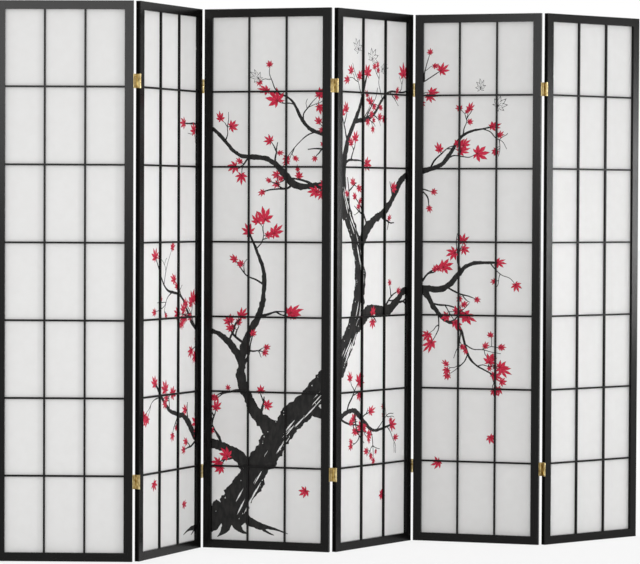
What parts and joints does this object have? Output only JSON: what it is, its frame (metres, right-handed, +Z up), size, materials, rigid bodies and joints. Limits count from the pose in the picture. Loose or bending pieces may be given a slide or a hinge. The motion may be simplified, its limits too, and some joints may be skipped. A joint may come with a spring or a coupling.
{
  "type": "folding screen",
  "caption": "Free-standing folding screen: tall black lattice frames backed with paper, joined edge to edge by two-way brass hinges so that neighbours fold flat either way.",
  "frame": {"origin": "on the floor, under the middle of the box of the opened screen", "axes": "+X along the length of the opened screen, from panel 1 to panel 6; +Y from the lattice side to the back; +Z up"},
  "size_m": [2.2748, 0.3366, 1.79],
  "materials": {
    "frame_lacquer": "satin black lacquer on wood",
    "lattice_lacquer": "satin black lacquer on thin wooden bars",
    "paper": "white fibre paper, matt, with an ink print on four of the panels",
    "batten_lacquer": "black-stained wood",
    "brass": "brass-plated hinge plates, knuckles, pins and screws"
  },
  "bodies": {
    "panel_1": {"panel_1_stiles": "frame_lacquer", "panel_1_rails": "frame_lacquer", "panel_1_uprights": "lattice_lacquer", "panel_1_crossbars": "lattice_lacquer", "panel_1_paper": "paper", "panel_1_battens": "batten_lacquer", "panel_1_hinge_leaves": "brass", "panel_1_hinge_screws": "brass"},
    "panel_2": {"panel_2_stiles": "frame_lacquer", "panel_2_rails": "frame_lacquer", "panel_2_uprights": "lattice_lacquer", "panel_2_crossbars": "lattice_lacquer", "panel_2_paper": "paper", "panel_2_battens": "batten_lacquer", "panel_2_hinge_leaves": "brass", "panel_2_hinge_screws": "brass"},
    "panel_3": {"panel_3_stiles": "frame_lacquer", "panel_3_rails": "frame_lacquer", "panel_3_uprights": "lattice_lacquer", "panel_3_crossbars": "lattice_lacquer", "panel_3_paper": "paper", "panel_3_battens": "batten_lacquer", "panel_3_hinge_leaves": "brass", "panel_3_hinge_screws": "brass"},
    "panel_4": {"panel_4_stiles": "frame_lacquer", "panel_4_rails": "frame_lacquer", "panel_4_uprights": "lattice_lacquer", "panel_4_crossbars": "lattice_lacquer", "panel_4_paper": "paper", "panel_4_battens": "batten_lacquer", "panel_4_hinge_leaves": "brass", "panel_4_hinge_screws": "brass"},
    "panel_5": {"panel_5_stiles": "frame_lacquer", "panel_5_rails": "frame_lacquer", "panel_5_uprights": "lattice_lacquer", "panel_5_crossbars": "lattice_lacquer", "panel_5_paper": "paper", "panel_5_battens": "batten_lacquer", "panel_5_hinge_leaves": "brass", "panel_5_hinge_screws": "brass"},
    "panel_6": {"panel_6_stiles": "frame_lacquer", "panel_6_rails": "frame_lacquer", "panel_6_uprights": "lattice_lacquer", "panel_6_crossbars": "lattice_lacquer", "panel_6_paper": "paper", "panel_6_battens": "batten_lacquer", "panel_6_hinge_leaves": "brass", "panel_6_hinge_screws": "brass"},
    "link_1": {"hinge_1_links": "brass", "hinge_1_pins": "brass"},
    "link_2": {"hinge_2_links": "brass", "hinge_2_pins": "brass"},
    "link_3": {"hinge_3_links": "brass", "hinge_3_pins": "brass"},
    "link_4": {"hinge_4_links": "brass", "hinge_4_pins": "brass"},
    "link_5": {"hinge_5_links": "brass", "hinge_5_pins": "brass"}
  },
  "joints": [
    {"name": "hinge_1_front_pin", "type": "hinge", "parent": "panel_2", "child": "link_1", "pos_m": [-0.70726, -0.16514, 0.255], "axis": [0, 0, -1], "range_deg": [-180, 0]},
    {"name": "hinge_1_back_pin", "type": "hinge", "parent": "link_1", "child": "panel_1", "pos_m": [-0.72081, -0.15183, 0.255], "axis": [0, 0, -1], "range_deg": [-67, 113]},
    {"name": "hinge_2_front_pin", "type": "hinge", "parent": "panel_3", "child": "link_2", "pos_m": [-0.39578, 0.15183, 0.255], "axis": [0, 0, 1], "range_deg": [-82.5, 97.5]},
    {"name": "hinge_2_back_pin", "type": "hinge", "parent": "link_2", "child": "panel_2", "pos_m": [-0.40933, 0.16514, 0.255], "axis": [0, 0, 1], "range_deg": [-180, 0]},
    {"name": "hinge_3_back_pin", "type": "hinge", "parent": "panel_3", "child": "link_3", "pos_m": [-0.02943, -0.10045, 0.255], "axis": [0, 0, 1], "range_deg": [-71, 109]},
    {"name": "hinge_3_front_pin", "type": "hinge", "parent": "link_3", "child": "panel_4", "pos_m": [-0.01881, -0.1162, 0.255], "axis": [0, 0, 1], "range_deg": [-170, 0]},
    {"name": "hinge_4_back_pin", "type": "hinge", "parent": "panel_4", "child": "link_4", "pos_m": [0.33899, 0.14806, 0.255], "axis": [0, 0, -1], "range_deg": [-180, 0]},
    {"name": "hinge_4_front_pin", "type": "hinge", "parent": "link_4", "child": "panel_5", "pos_m": [0.34962, 0.13231, 0.255], "axis": [0, 0, -1], "range_deg": [-71, 109]},
    {"name": "hinge_5_back_pin", "type": "hinge", "parent": "panel_5", "child": "link_5", "pos_m": [0.71597, -0.11997, 0.255], "axis": [0, 0, 1], "range_deg": [-56.5, 123.5]},
    {"name": "hinge_5_front_pin", "type": "hinge", "parent": "link_5", "child": "panel_6", "pos_m": [0.72231, -0.13788, 0.255], "axis": [0, 0, 1], "range_deg": [-180, 0]}
  ]
}
